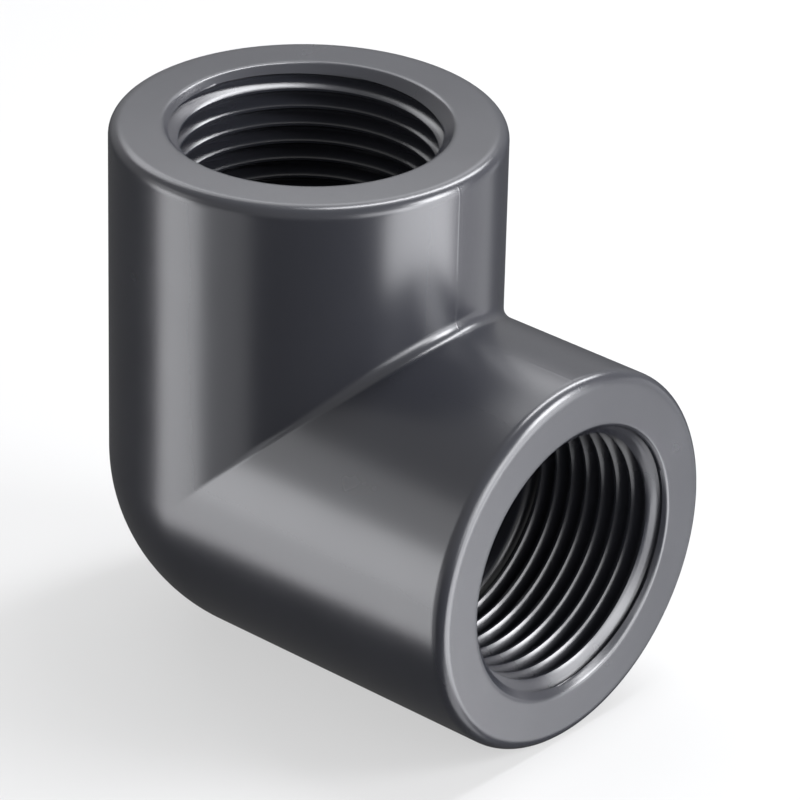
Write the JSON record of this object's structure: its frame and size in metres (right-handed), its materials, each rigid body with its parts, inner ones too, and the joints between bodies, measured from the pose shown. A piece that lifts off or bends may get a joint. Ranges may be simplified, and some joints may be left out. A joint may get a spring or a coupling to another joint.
{
  "type": "threaded elbow",
  "caption": "Right-angle pipe elbow moulded in one piece of dark grey plastic, with a female pipe thread in each end.",
  "frame": {"origin": "centre of the side port's rim face, on the port's axis", "axes": "+X out of the side port, +Z out of the top port; both axes lie in Y = 0 and cross at X = -33.5 mm, Z = 0"},
  "size_m": [0.052, 0.037, 0.052],
  "materials": {
    "moulded_pvc": "semi-gloss moulded PVC-U, dark grey"
  },
  "bodies": {
    "root": {"elbow_body": "moulded_pvc"}
  },
  "joints": []
}
